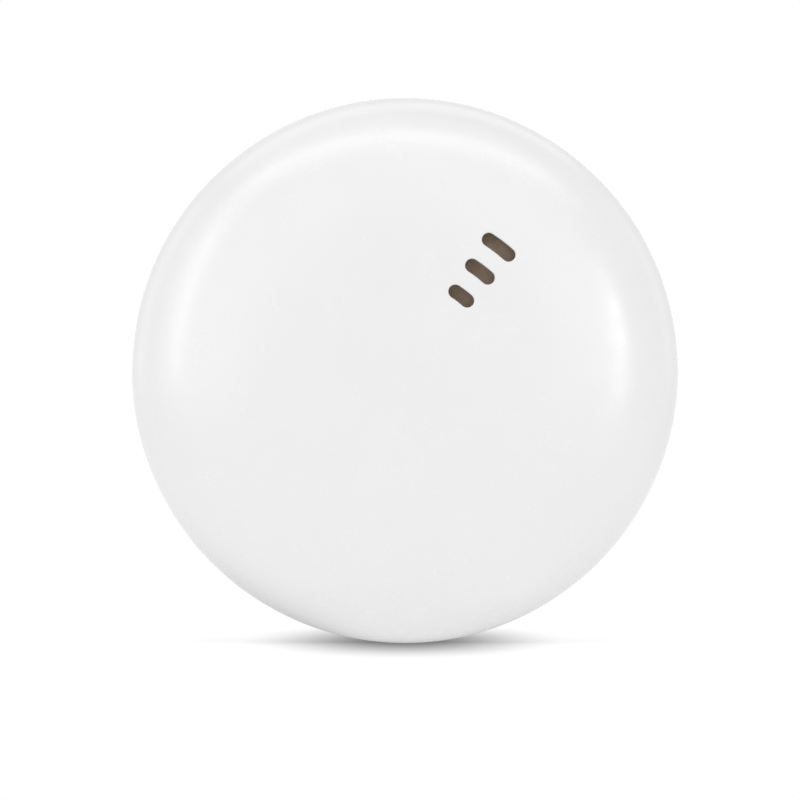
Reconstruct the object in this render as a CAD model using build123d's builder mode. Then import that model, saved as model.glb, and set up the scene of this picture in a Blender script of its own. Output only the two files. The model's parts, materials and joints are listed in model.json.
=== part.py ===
from build123d import *
from math import cos, radians, sin, sqrt
import os

# A wall and ceiling smoke alarm: a domed cover that is its own test button, on a bayonet base.
# The origin is the centre of the face that lies on the wall. Seen from the room, X runs to the
# right and Z up. A depth is a distance from the wall towards the room, which is along -Y.
# Angles are counted from +X towards +Z. All sizes are in millimetres and degrees.

# Front cover
COVER_DIAMETER = 110.0
COVER_HEIGHT = 16.2
COVER_WALL = 2.0
CROWN_REACH = 36.0
SHOULDER_DROP = 2.0
EDGE_BAND = 2.2
EDGE_UNDERCUT = 0.8
EDGE_ROUND = 0.4
COVER_TRAVEL = 0.8
WINDOW_SKIN = 0.6

# Sound slots
SLOT_WIDTH = 2.75
SLOT_INSET = 30.4
SLOT_PITCH = 6.15
SLOT_ANGLE = 52.6
SLOT_SWEEP = 9.2
SLOT_ROUND = 0.3

# Mounting base
BASE_STANDOFF = 1.2
BASE_FLOOR = 1.8
BASE_RIM = 1.5
BASE_CLEARANCE = 0.5
RIB = 1.2
RIB_COUNT = 12
RIB_RINGS = (20.0, 38.0)
CENTRE_PAD = 9.0
SCREW_SPACING = 60.0
SCREW_SLOT_LENGTH = 10.0
SCREW_SLOT_WIDTH = 4.5
SCREW_RECESS_DEPTH = 0.8
SCREW_RECESS_MARGIN = 2.3

# Bayonet
TURN = 20.0
HOOK_ANGLES = (60.0, 180.0, 300.0)
HOOK_ARM = 1.6
HOOK_TO_RIM = 1.5
HOOK_STOP = 1.5
STOP_GAP = 0.5
LIP_THICKNESS = 1.4
LUG_WIDTH = 16.0
LUG_GAP = 2.0
LUG_THICKNESS = 1.4
LUG_REACH = 2.4
NECK_WALL = 1.6
MOVING_GAP = 0.4

# Rear housing
HOUSING_STEP = 1.0
HOUSING_WALL = 2.0
HOUSING_TAPER = 3.0
HOUSING_SWELL = 4.5
SKIRT_WALL = 1.5
SKIRT_START = 1.5
BACK_WALL = 1.8

# Stack in front of the back wall
BOARD_STANDOFF = 2.2
BOARD_THICKNESS = 1.6
BOARD_INSET = 6.0
COMPONENT_GAP = 0.4
PLATE_THICKNESS = 1.4
INLET_GAP = 3.6
FIXED_GAP = 0.3

# Battery
CELL_DIAMETER = 17.0
CELL_BODY = 33.5
CELL_NUB_HEIGHT = 1.0
CELL_NUB_RADIUS = 3.2
CELL_PLAY = 0.4
CONTACT_SPACE = 2.25
BOX_WALL = 1.4
CONTACT_STRIP = 0.4
CONTACT_WIDTH = 8.0
CONTACT_TAIL = 2.5
CONTACT_RISE = 11.0
DOOR_THICKNESS = 1.3
DOOR_GAP = 0.3
DOOR_OVERLAP = 1.6
DOOR_SLIDE = 6.0
DOOR_RIB = 1.2
RAIL_LIP = 1.0
RAIL_REACH = 1.4
RAIL_LENGTH = 4.5
RAIL_PLACES = (-7.25, 3.5)
GRIP_HEIGHT = 0.5

# Power slider
PEG_RADIUS = 30.0
PEG_ANGLE = 90.0
PEG_DEPTH = 2.8
PEG_WIDTH = 4.0
PRONG_WIDTH = 3.0
PRONG_GAP = 0.8
SLIDER_FLANGE = 8.0
SLIDER_FLANGE_SWEEP = 18.0
SLIDER_FLANGE_THICKNESS = 1.0
SLIDER_PLAY = 0.3

# Smoke chamber
CHAMBER_TO_SOUNDER = 2.2
CHAMBER_TO_POST = 0.4
CHAMBER_TO_BOX = 5.2
CHAMBER_BASE = 5.9
CHAMBER_HEIGHT = 9.5
CHAMBER_CAP = 1.2
SCREEN_WALL = 0.4
SCREEN_INSET = 0.6
SCREEN_COLUMNS = 30
SCREEN_ROWS = 3
SCREEN_BAR = 0.8
VANE_COUNT = 16
VANE_THICKNESS = 0.8
VANE_LENGTH = 3.0
VANE_INSET = 4.3
VANE_TURN = 35.0
VANE_BEND = 90.0
CHAMBER_PEG_INSET = 4.8
CHAMBER_PEG_ANGLES = (90.0, 225.0, 315.0)
OPTIC_DIAMETER = 3.0
OPTIC_LENGTH = 5.0
OPTIC_FLANGE = 0.5
OPTIC_INSET = 9.5
LED_ANGLE = 200.0
DIODE_ANGLE = 65.0
SENSING_INSET = 10.5
SENSING_DEPTH = 4.0
LEG = 0.5
LEG_SPACING = 1.27

# Sounder
SOUNDER_WALL = 1.9
SOUNDER_FLOOR = 1.4
SOUNDER_DROP = 3.8
PIEZO_DIAMETER = 27.0
PIEZO_THICKNESS = 0.25
PIEZO_SEAT = 0.8
CERAMIC_DIAMETER = 20.0
CERAMIC_THICKNESS = 0.2
PRESS_GAP = 0.1
RETAINER_HEIGHT = 4.05
RETAINER_WIDTH = 1.8
PIN_DIAMETER = 0.7
PIN_HOLE_GAP = 0.5

# Guides, springs and hooks of the cover
POST_RADIUS = 1.8
POST_ANGLES = (30.0, 150.0, 270.0)
FASTENING_INSET = 4.5
GUIDE_GAP = 0.3
GUIDE_WALL = 1.1
GUIDE_LENGTH = 2.2
SPRING_WIRE = 0.5
SPRING_RADIUS = 2.6
SPRING_HEIGHT = 6.0
SPRING_TURNS = 5
SHOULDER_RADIUS = 3.4
SNAP_ANGLES = (90.0, 210.0, 330.0)
SNAP_WIDTH = 8.0
SNAP_THICKNESS = 2.0
SNAP_BARB = 1.2
SNAP_TO_GUARD = 1.3

# Screws
PLATE_SCREW_ANGLES = (0.0, 120.0, 225.0, 315.0)
BOSS_RADIUS = 2.7
SCREW_RADIUS = 1.0
SCREW_PLAY = 0.05
SCREW_HEAD_RADIUS = 2.2
SCREW_HEAD_HEIGHT = 1.5
SCREW_BITE = 6.0
CROSS_WIDTH = 0.6
CROSS_DEPTH = 0.8
BOARD_SCREW_ANGLES = (107.0, 189.0, 346.0)
BOARD_SCREW_INSET = 7.5
BOARD_SCREW_BITE = 2.0

# Inlet guard
GUARD_INSET = 2.4
GUARD_WIDTH = 2.8
GUARD_HEIGHT = 7.3
GUARD_RING = 1.0
FIN_COUNT = 108
FIN_THICKNESS = 1.1
FOOT_RADIUS = 0.8
GUARD_PIN_COUNT = 6

# Parts on the board. Those in the bay between the chamber and the battery box stand at an offset
# from its corner, the inductor off the box's end, and the others at an inset from the board's edge
# and at an angle.
SWITCH_PLACE = (17.8, -6.0)
SWITCH_SIZE = 6.0
SWITCH_FLOOR = 0.4
PLUNGER_RADIUS = 1.6
PLUNGER_DEPTH = 2.0
LED_PLACE = (8.0, 90.0)
LED_SIZE = 3.0
LED_HEIGHT = 2.0
GUIDE_ROD_RADIUS = 1.5
GUIDE_ROD_FLANGE = 2.6
CONTROLLER_OFFSET = (12.7, 8.9)
CONTROLLER_SIZE = (10.3, 7.5)
CONTROLLER_LEGS = 8
ALARM_CHIP_PLACE = (16.7, 98.0)
ALARM_CHIP_SIZE = (5.0, 4.0)
ALARM_CHIP_LEGS = 4
CHIP_HEIGHT = 1.6
CHIP_PITCH = 1.27
CHIP_FOOT = 1.2
CHIP_FOOT_THICKNESS = 0.3
CRYSTAL_OFFSET = (2.2, 5.9)
CRYSTAL_SIZE = (3.2, 6.0)
CRYSTAL_HEIGHT = 1.8
INDUCTOR_OFFSET = (9.1, 7.2)
INDUCTOR_RADIUS = 3.8
INDUCTOR_HEIGHT = 3.6
INDUCTOR_GROOVE = 0.6
CAPACITOR_PLACES = ((14.7, 13.0), (7.4, 13.5))
CAPACITOR_RADIUS = 2.4
CAPACITOR_HEIGHT = 3.8
CHIP_PART_SIZE = (2.0, 1.25)
CHIP_PART_HEIGHT = 0.6
CHIP_PART_OFFSETS = ((22.7, 12.9), (22.7, 8.9), (22.7, 4.9), (3.7, 14.9), (6.7, 14.9), (9.7, 14.9))
CHIP_PART_PLACES = ((3.5, 130.0), (7.6, 128.5), (5.8, 206.5), (4.4, 215.0), (8.8, -24.0), (11.0, -31.0))

# Depths that follow
floor_front = BASE_STANDOFF + BASE_FLOOR
lug_rear = floor_front + MOVING_GAP
lug_front = lug_rear + LUG_THICKNESS
lip_rear = lug_front + MOVING_GAP
lip_front = lip_rear + LIP_THICKNESS
back_rear = lip_front + MOVING_GAP
back_front = back_rear + BACK_WALL
board_rear = back_front + BOARD_STANDOFF
board_front = board_rear + BOARD_THICKNESS
switch_height = SWITCH_FLOOR + GUIDE_GAP + COVER_TRAVEL + PLUNGER_DEPTH
switch_front = board_front + switch_height
plate_rear = board_front + max(INDUCTOR_HEIGHT, CAPACITOR_HEIGHT, switch_height) + COMPONENT_GAP
plate_front = plate_rear + PLATE_THICKNESS
cover_edge = plate_front + INLET_GAP
front_face = cover_edge + COVER_HEIGHT
shoulder_end = plate_front + SPRING_HEIGHT
guide_end = plate_rear - GUIDE_LENGTH
plunger_front = plate_front - FIXED_GAP

# Radii that follow
cover_radius = COVER_DIAMETER / 2
housing_radius = cover_radius - HOUSING_STEP
housing_inside = housing_radius - HOUSING_WALL
skirt_radius = housing_radius - HOUSING_TAPER
skirt_inside = skirt_radius - SKIRT_WALL
base_radius = skirt_inside - BASE_CLEARANCE
hook_outer = base_radius - BASE_RIM - HOOK_TO_RIM
hook_inner = hook_outer - HOOK_ARM
lug_outer = hook_inner - MOVING_GAP
neck_radius = lug_outer - LUG_REACH
neck_inside = neck_radius - NECK_WALL
lip_inner = neck_radius + MOVING_GAP
board_radius = housing_inside - BOARD_INSET
fastening_radius = board_radius - FASTENING_INSET
guard_outer = housing_inside - GUARD_INSET
guard_inner = guard_outer - GUARD_WIDTH
snap_outer = guard_inner - SNAP_TO_GUARD
snap_inner = snap_outer - SNAP_THICKNESS


def facing(depth):
    """The plane at a depth that looks into the room: its local axes are X and Z."""
    return Plane.XZ.offset(depth)


def polar(radius, angle, centre=(0, 0)):
    """The point at a radius and angle about a centre."""
    return (centre[0] + radius * cos(radians(angle)), centre[1] + radius * sin(radians(angle)))


def bars(rear, front, points, radius, mode=Mode.ADD):
    """Round bars or holes from one depth to another."""
    with BuildSketch(facing(rear)) as sketch:
        with Locations(*points):
            Circle(radius)
    extrude(sketch.sketch, amount=front - rear, mode=mode)


def tubes(rear, front, points, outer, inner, mode=Mode.ADD):
    """Round walls or grooves from one depth to another."""
    with BuildSketch(facing(rear)) as sketch:
        with Locations(*points):
            Circle(outer)
            Circle(inner, mode=Mode.SUBTRACT)
    extrude(sketch.sketch, amount=front - rear, mode=mode)


def blocks(rear, front, points, size, mode=Mode.ADD):
    """Square-cornered blocks or holes from one depth to another."""
    with BuildSketch(facing(rear)) as sketch:
        with Locations(*points):
            Rectangle(*size)
    extrude(sketch.sketch, amount=front - rear, mode=mode)


def sectors(rear, front, inner, outer, angles, sweep, mode=Mode.ADD):
    """Pieces or cuts of a ring about the alarm's axis, from one depth to another."""
    with BuildSketch(facing(rear)) as sketch:
        for angle in angles:
            start = angle - sweep / 2
            with BuildLine():
                near = CenterArc((0, 0), inner, start, sweep)
                far = CenterArc((0, 0), outer, start, sweep)
                Line(near @ 0, far @ 0)
                Line(near @ 1, far @ 1)
            make_face()
    extrude(sketch.sketch, amount=front - rear, mode=mode)


# Half sections are drawn with the radius across and the depth up, and turned about the Y axis
half_section = Plane(origin=(0, 0, 0), x_dir=(1, 0, 0), z_dir=(0, 0, -1))


def dome(inset, undercut, rear, mode=Mode.ADD):
    """The body under the domed face, moved inwards by a wall and closed at a depth."""
    radius = cover_radius - inset
    front = front_face - inset
    reach = CROWN_REACH * radius / cover_radius
    with BuildSketch(half_section) as section:
        with BuildLine():
            face = Bezier(
                (0, front),
                (reach, front),
                (radius, front - SHOULDER_DROP),
                (radius, cover_edge + EDGE_BAND),
            )
            Polyline(face @ 1, (radius - undercut, rear), (0, rear), (0, front))
        make_face()
    revolve(section.sketch, axis=Axis.Y, mode=mode)


# Places of what stands on the plate and the board
centre = [(0, 0)]
post_points = [polar(fastening_radius, angle) for angle in POST_ANGLES]
plate_screw_points = [polar(fastening_radius, angle) for angle in PLATE_SCREW_ANGLES]
board_screw_points = [polar(board_radius - BOARD_SCREW_INSET, angle) for angle in BOARD_SCREW_ANGLES]
guard_middle = (guard_inner + guard_outer) / 2


def by_edge(place):
    """The point at an inset from the board's edge and an angle."""
    inset, angle = place
    return polar(board_radius - inset, angle)


switch_place = by_edge(SWITCH_PLACE)
led_place = by_edge(LED_PLACE)
alarm_chip_place = by_edge(ALARM_CHIP_PLACE)
capacitor_places = [by_edge(place) for place in CAPACITOR_PLACES]
guard_pin_points = [polar(guard_middle, index * 360 / GUARD_PIN_COUNT) for index in range(GUARD_PIN_COUNT)]

# Battery compartment: the cell lies level, and its door reaches as far out as the neck allows
cell_radius = CELL_DIAMETER / 2
cell_length = CELL_BODY + CELL_NUB_HEIGHT
cell_depth = back_front + FIXED_GAP + cell_radius
box_inner = (cell_length + 2 * CONTACT_SPACE, CELL_DIAMETER + 2 * CELL_PLAY)
box_outer = (box_inner[0] + 2 * BOX_WALL, box_inner[1] + 2 * BOX_WALL)
box_roof = cell_depth + cell_radius + CELL_PLAY
hatch = (cell_length + 2 * CELL_PLAY, box_inner[1])
door = (hatch[0] + 2 * DOOR_OVERLAP, hatch[1] + 2 * DOOR_OVERLAP)
door_front = back_rear - DOOR_GAP
door_rear = door_front - DOOR_THICKNESS
cell_z = door[1] / 2 - sqrt((neck_inside - FIXED_GAP) ** 2 - (door[0] / 2) ** 2)
cell_place = (0, cell_z)

# Sounder: under the middle sound slot
middle_slot = cover_radius - SLOT_INSET
sounder_place = polar(middle_slot, SLOT_ANGLE)
piezo_radius = PIEZO_DIAMETER / 2
ceramic_radius = CERAMIC_DIAMETER / 2
sounder_radius = piezo_radius + PRESS_GAP + SOUNDER_WALL
sounder_front = front_face - COVER_WALL - SOUNDER_DROP
piezo_front = sounder_front - RETAINER_HEIGHT
piezo_rear = piezo_front - PIEZO_THICKNESS
ceramic_rear = piezo_rear - CERAMIC_THICKNESS
brass_pin = polar((ceramic_radius + piezo_radius - PIEZO_SEAT) / 2, 180, sounder_place)
ceramic_pins = [polar(ceramic_radius / 2, angle, sounder_place) for angle in (0, 180)]

# Smoke chamber: fills the room between the battery box, the sounder and the circle inside the posts.
# Its centre stands its radius above the box's edge, and its x is x_start - x_fall * radius, so that it
# meets the sounder and the circle alike. The radius is the larger root of the square that is left.
box_edge = cell_z + box_outer[1] / 2
bottom = box_edge + CHAMBER_TO_BOX
room = fastening_radius - SHOULDER_RADIUS - CHAMBER_TO_POST
sounder_room = sounder_radius + CHAMBER_TO_SOUNDER
sounder_x, sounder_z = sounder_place
x_start = (room ** 2 - sounder_room ** 2 + middle_slot ** 2 - 2 * sounder_z * bottom) / (2 * sounder_x)
x_fall = (room + sounder_room + sounder_z) / sounder_x
half_sum = (x_start * x_fall - bottom - room) / x_fall ** 2
product = (x_start ** 2 + bottom ** 2 - room ** 2) / x_fall ** 2
chamber_radius = half_sum + sqrt(half_sum ** 2 - product)
chamber_place = (x_start - x_fall * chamber_radius, bottom + chamber_radius)
chamber_floor = board_front + CHAMBER_BASE
chamber_cap = chamber_floor + CHAMBER_HEIGHT
peg_circle = chamber_radius - CHAMBER_PEG_INSET
chamber_pegs = [polar(peg_circle, angle, chamber_place) for angle in CHAMBER_PEG_ANGLES]
optic_depth = chamber_floor - OPTIC_DIAMETER / 2 - OPTIC_FLANGE
optic_nose = chamber_radius - OPTIC_INSET

# The inductor stands off the box's left end
inductor_place = (-box_outer[0] / 2 - INDUCTOR_OFFSET[0], cell_z + INDUCTOR_OFFSET[1])

# Bay between the chamber and the battery box
bay_x = chamber_place[0] + chamber_radius
controller_place = (bay_x + CONTROLLER_OFFSET[0], box_edge + CONTROLLER_OFFSET[1])
crystal_place = (bay_x + CRYSTAL_OFFSET[0], box_edge + CRYSTAL_OFFSET[1])
chip_part_places = [(bay_x + x, box_edge + z) for x, z in CHIP_PART_OFFSETS]
chip_part_places += [by_edge(place) for place in CHIP_PART_PLACES]

# Bayonet angles, from a hook's own angle: the locked lug lies on it, and the free lug one turn away
hook_start = -(LUG_WIDTH / 2 + STOP_GAP + HOOK_STOP)
hook_end = TURN - LUG_GAP - LUG_WIDTH / 2
hook_angles = [angle + (hook_start + hook_end) / 2 for angle in HOOK_ANGLES]
stop_angles = [angle + hook_start + HOOK_STOP / 2 for angle in HOOK_ANGLES]
lug_angles = [angle + TURN for angle in HOOK_ANGLES]

# Power slider: it stands astride the base's peg
peg_near = PEG_RADIUS - PEG_DEPTH / 2
peg_far = PEG_RADIUS + PEG_DEPTH / 2
fork_sweep = PEG_WIDTH + 2 * (PRONG_GAP + PRONG_WIDTH)

os.makedirs("parts", exist_ok=True)


def screw_slots(rear, front, margin, mode=Mode.ADD):
    """The outline of the two wall-screw slots, grown by a margin, from one depth to another."""
    with BuildSketch(facing(rear)) as sketch:
        with GridLocations(SCREW_SPACING, 0, 2, 1):
            SlotOverall(SCREW_SLOT_LENGTH + 2 * margin, SCREW_SLOT_WIDTH + 2 * margin)
    extrude(sketch.sketch, amount=front - rear, mode=mode)


# Mounting base: floor plate with a rim, ribs that reach back to the wall, hooks and a peg
with BuildPart() as mounting_base:
    bars(BASE_STANDOFF, floor_front, centre, base_radius)
    tubes(0, lip_front, centre, base_radius, base_radius - BASE_RIM)
    bars(0, BASE_STANDOFF, centre, CENTRE_PAD)
    for rib_radius in RIB_RINGS:
        tubes(0, BASE_STANDOFF, centre, rib_radius + RIB, rib_radius)
    with BuildSketch(facing(0)):
        with PolarLocations(base_radius / 2, RIB_COUNT, 360 / RIB_COUNT / 2):
            Rectangle(base_radius - 2 * BASE_RIM, RIB)
    extrude(amount=BASE_STANDOFF)
    rings = mounting_base.edges().filter_by(GeomType.CIRCLE).sort_by(SortBy.LENGTH)
    rear_rim = rings.group_by(Axis.Y)[-1][-1]
    fillet(rear_rim, radius=EDGE_ROUND)
    screw_slots(0, BASE_STANDOFF, SCREW_RECESS_MARGIN)
    screw_slots(floor_front - SCREW_RECESS_DEPTH, floor_front, SCREW_RECESS_MARGIN, Mode.SUBTRACT)
    screw_slots(0, floor_front, 0, Mode.SUBTRACT)
    sectors(floor_front, lip_front, hook_inner, hook_outer, hook_angles, hook_end - hook_start)
    sectors(lip_rear, lip_front, lip_inner, hook_inner, hook_angles, hook_end - hook_start)
    sectors(floor_front, lip_rear, lip_inner, hook_inner, stop_angles, HOOK_STOP)
    sectors(floor_front, lip_rear, peg_near, peg_far, (PEG_ANGLE,), PEG_WIDTH)
mounting_base.part.label = "mounting_base"
export_step(mounting_base.part, "parts/mounting_base.step")

# Rear housing: tapered skirt and back wall, with the neck, lugs, battery box, bosses and rails
with BuildPart() as rear_housing:
    with BuildSketch(half_section):
        with BuildLine():
            outside = Bezier(
                (skirt_radius, SKIRT_START),
                (housing_radius, SKIRT_START + HOUSING_SWELL),
                (housing_radius, plate_front),
            )
            Polyline(
                outside @ 1,
                (housing_inside, plate_front),
                (skirt_radius, back_front),
                (0, back_front),
                (0, back_rear),
                (skirt_inside, back_rear),
                (skirt_inside, SKIRT_START),
                outside @ 0,
            )
        make_face()
    revolve(axis=Axis.Y)
    skirt_edge = rear_housing.edges().group_by(Axis.Y)[-1].sort_by(SortBy.LENGTH)[-1]
    rim_edge = rear_housing.edges().group_by(Axis.Y)[0].sort_by(SortBy.LENGTH)[-1]
    fillet([skirt_edge, rim_edge], radius=EDGE_ROUND)
    tubes(lug_rear, back_rear, centre, neck_radius, neck_inside)
    sectors(lug_rear, lug_front, neck_radius, lug_outer, lug_angles, LUG_WIDTH)
    blocks(back_front, box_roof + BOX_WALL, [cell_place], box_outer)
    blocks(back_front, box_roof, [cell_place], box_inner, Mode.SUBTRACT)
    blocks(back_rear, back_front, [cell_place], hatch, Mode.SUBTRACT)
    tail_points = [(side * box_inner[0] / 2, cell_z) for side in (-1, 1)]
    tail_slot = (2 * (BOX_WALL + FIXED_GAP), CONTACT_WIDTH + FIXED_GAP)
    blocks(board_front, board_front + CONTACT_STRIP + FIXED_GAP, tail_points, tail_slot, Mode.SUBTRACT)
    bars(back_front, plate_rear, plate_screw_points, BOSS_RADIUS)
    bars(plate_rear - SCREW_BITE, plate_rear, plate_screw_points, SCREW_RADIUS + SCREW_PLAY, Mode.SUBTRACT)
    bars(back_front, board_rear, board_screw_points, BOSS_RADIUS)
    board_bite = board_rear - BOARD_SCREW_BITE
    bars(board_bite, board_rear, board_screw_points, SCREW_RADIUS + SCREW_PLAY, Mode.SUBTRACT)
    slot_sweep = fork_sweep + TURN + 2 * PRONG_GAP
    slot_angle = PEG_ANGLE + TURN / 2
    slot_near = peg_near - SLIDER_PLAY
    slot_far = peg_far + SLIDER_PLAY
    sectors(back_rear, back_front, slot_near, slot_far, (slot_angle,), slot_sweep, Mode.SUBTRACT)
    lips_rear = door_rear - DOOR_GAP - RAIL_LIP
    for side in (-1, 1):
        lip_x = side * (door[0] / 2 + DOOR_GAP)
        arm_x = lip_x + side * RAIL_REACH / 2
        blocks(lips_rear, back_rear, [(arm_x, cell_z + z) for z in RAIL_PLACES], (RAIL_REACH, RAIL_LENGTH))
        lip_points = [(lip_x, cell_z + z) for z in RAIL_PLACES]
        blocks(lips_rear, lips_rear + RAIL_LIP, lip_points, (2 * RAIL_REACH, RAIL_LENGTH))
rear_housing.part.label = "rear_housing"
export_step(rear_housing.part, "parts/rear_housing.step")

# Battery door: a notched plate under the rails, with ribs that keep the cell in and a grip
with BuildPart() as battery_cover:
    blocks(door_rear, door_front, [cell_place], door)
    fillet(battery_cover.edges().filter_by(Axis.Y), radius=2 * EDGE_ROUND)
    notches = [(side * door[0] / 2, cell_z + RAIL_PLACES[1] - DOOR_SLIDE) for side in (-1, 1)]
    notch = (2 * RAIL_REACH, RAIL_LENGTH + 2 * FIXED_GAP)
    blocks(door_rear, door_front, notches, notch, Mode.SUBTRACT)
    rib_length = (hatch[1] - DOOR_SLIDE) / 2
    rib_z = cell_z - hatch[1] / 2 + CELL_PLAY + rib_length / 2
    ribs = [(side * hatch[0] / 4, rib_z) for side in (-1, 1)]
    blocks(door_front, back_front, ribs, (DOOR_RIB, rib_length))
    grips = [(0, cell_z + row * 2 * DOOR_RIB) for row in (-1, 0, 1)]
    blocks(door_rear - GRIP_HEIGHT, door_rear, grips, (CONTACT_WIDTH, DOOR_RIB))
battery_cover.part.label = "battery_cover"
export_step(battery_cover.part, "parts/battery_cover.step")

# Battery: one cylindrical cell, its nub to the right
cell_plane = Plane(origin=(-cell_length / 2, -cell_depth, cell_z), x_dir=(0, 1, 0), z_dir=(1, 0, 0))
with BuildPart() as battery:
    with BuildSketch(cell_plane):
        Circle(cell_radius)
    extrude(amount=CELL_BODY)
    fillet(battery.edges().filter_by(GeomType.CIRCLE), radius=EDGE_ROUND)
    with BuildSketch(cell_plane.offset(CELL_BODY)):
        Circle(CELL_NUB_RADIUS)
    extrude(amount=CELL_NUB_HEIGHT)
battery.part.label = "battery"
export_step(battery.part, "parts/battery.step")


def contact_strip(side):
    """The flat of a battery contact, with the tail that runs out through the box onto the board."""
    face_x = side * (box_inner[0] - CONTACT_STRIP) / 2
    tail_length = CONTACT_STRIP + BOX_WALL + CONTACT_TAIL
    tail_x = side * (box_inner[0] / 2 - CONTACT_STRIP + tail_length / 2)
    blocks(board_front, board_front + CONTACT_RISE, [(face_x, cell_z)], (CONTACT_STRIP, CONTACT_WIDTH))
    blocks(board_front, board_front + CONTACT_STRIP, [(tail_x, cell_z)], (tail_length, CONTACT_WIDTH))


# Positive contact: a strip with a pressed bump that meets the cell's nub
with BuildPart() as battery_positive_contact:
    contact_strip(1)
    with BuildSketch(cell_plane.offset(cell_length)):
        Circle(CELL_NUB_RADIUS / 2)
    extrude(amount=CONTACT_SPACE - CONTACT_STRIP)
battery_positive_contact.part.label = "battery_positive_contact"
export_step(battery_positive_contact.part, "parts/battery_positive_contact.step")

# Negative contact: a strip with a bent leaf that presses on the cell's flat end
with BuildPart() as battery_negative_contact:
    contact_strip(-1)
    leaf_root = -box_inner[0] / 2 + CONTACT_STRIP
    leaf_press = -cell_length / 2
    leaf_top = board_front + CONTACT_RISE
    leaf_foot = cell_depth - CONTACT_RISE / 4
    with BuildSketch(Plane.XY.offset(cell_z - CONTACT_WIDTH / 4)):
        with BuildLine():
            Polyline(
                (leaf_root, CONTACT_STRIP - leaf_top),
                (leaf_press - CONTACT_STRIP, -cell_depth),
                (leaf_root + CONTACT_STRIP, -leaf_foot),
                (leaf_root + 2 * CONTACT_STRIP, -leaf_foot),
                (leaf_press, -cell_depth),
                (leaf_root, -leaf_top),
                close=True,
            )
        make_face()
    extrude(amount=CONTACT_WIDTH / 2)
battery_negative_contact.part.label = "battery_negative_contact"
export_step(battery_negative_contact.part, "parts/battery_negative_contact.step")

# Power slider: a flange inside the back wall and a fork behind it that holds the base's peg
flange_rear = back_front + SLIDER_PLAY
flange_front = flange_rear + SLIDER_FLANGE_THICKNESS
with BuildPart() as power_slider:
    prong_shift = (fork_sweep - PRONG_WIDTH) / 2
    prong_angles = (PEG_ANGLE - prong_shift, PEG_ANGLE + prong_shift)
    bridge_rear = lip_rear + MOVING_GAP
    sectors(lug_rear, bridge_rear, peg_near, peg_far, prong_angles, PRONG_WIDTH)
    sectors(bridge_rear, flange_rear, peg_near, peg_far, (PEG_ANGLE,), fork_sweep)
    flange_near = PEG_RADIUS - SLIDER_FLANGE / 2
    flange_far = PEG_RADIUS + SLIDER_FLANGE / 2
    sectors(flange_rear, flange_front, flange_near, flange_far, (PEG_ANGLE,), SLIDER_FLANGE_SWEEP)
power_slider.part.label = "power_slider"
export_step(power_slider.part, "parts/power_slider.step")

# Power contact: a strip on the slider with two raised ends that bridge pads under the board
with BuildPart() as power_contact:
    bumps_front = board_rear - SLIDER_PLAY
    strip_front = (flange_front + bumps_front) / 2
    contact_near = PEG_RADIUS - SLIDER_FLANGE / 4
    contact_far = PEG_RADIUS + SLIDER_FLANGE / 4
    strip_sweep = SLIDER_FLANGE_SWEEP - PRONG_WIDTH
    bump_shift = (strip_sweep - PRONG_WIDTH) / 2
    bump_angles = (PEG_ANGLE - bump_shift, PEG_ANGLE + bump_shift)
    sectors(flange_front, strip_front, contact_near, contact_far, (PEG_ANGLE,), strip_sweep)
    sectors(flange_front, bumps_front, contact_near, contact_far, bump_angles, PRONG_WIDTH)
power_contact.part.label = "power_contact"
export_step(power_contact.part, "parts/power_contact.step")

# Circuit board: cut out round the battery box, with holes for bosses, screws and the chamber's pegs
with BuildPart() as circuit_board:
    bars(board_rear, board_front, centre, board_radius)
    box_notch = (box_outer[0] + 2 * FIXED_GAP, board_radius)
    notch_z = cell_z + box_outer[1] / 2 + FIXED_GAP - board_radius / 2
    blocks(board_rear, board_front, [(0, notch_z)], box_notch, Mode.SUBTRACT)
    bars(board_rear, board_front, plate_screw_points, BOSS_RADIUS + FIXED_GAP, Mode.SUBTRACT)
    bars(board_rear, board_front, board_screw_points, SCREW_RADIUS + SCREW_PLAY, Mode.SUBTRACT)
    bars(board_rear, board_front, chamber_pegs, FOOT_RADIUS + PRESS_GAP, Mode.SUBTRACT)
circuit_board.part.label = "circuit_board"
export_step(circuit_board.part, "parts/circuit_board.step")


def screws(shank_end, head_rear, points):
    """Pan-head screws with a cross recess."""
    head_front = head_rear + SCREW_HEAD_HEIGHT
    bars(shank_end, head_rear, points, SCREW_RADIUS)
    bars(head_rear, head_front, points, SCREW_HEAD_RADIUS)
    cross_length = 2 * (SCREW_HEAD_RADIUS - CROSS_WIDTH)
    for size in ((cross_length, CROSS_WIDTH), (CROSS_WIDTH, cross_length)):
        blocks(head_front - CROSS_DEPTH, head_front, points, size, Mode.SUBTRACT)


# Screws that hold the board on its standoffs
with BuildPart() as board_screws:
    screws(board_bite + FIXED_GAP, board_front, board_screw_points)
board_screws.part.label = "board_screws"
export_step(board_screws.part, "parts/board_screws.step")

# Screws that hold the inner cover on its bosses
with BuildPart() as inner_cover_screws:
    screws(plate_rear - SCREW_BITE + FIXED_GAP, plate_front, plate_screw_points)
inner_cover_screws.part.label = "inner_cover_screws"
export_step(inner_cover_screws.part, "parts/inner_cover_screws.step")


def chip(place, size, legs):
    """A moulded chip with a row of flat feet on each long side, standing on the board."""
    body_rear = board_front + CHIP_FOOT_THICKNESS / 2
    blocks(body_rear, body_rear + CHIP_HEIGHT, [place], size)
    with BuildSketch(facing(board_front)) as feet:
        with Locations(place):
            with GridLocations(CHIP_PITCH, size[1], legs, 2):
                Rectangle(CHIP_PITCH / 3, 2 * CHIP_FOOT)
    extrude(feet.sketch, amount=CHIP_FOOT_THICKNESS)


# Microcontroller
with BuildPart() as microcontroller:
    chip(controller_place, CONTROLLER_SIZE, CONTROLLER_LEGS)
microcontroller.part.label = "microcontroller"
export_step(microcontroller.part, "parts/microcontroller.step")

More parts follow.
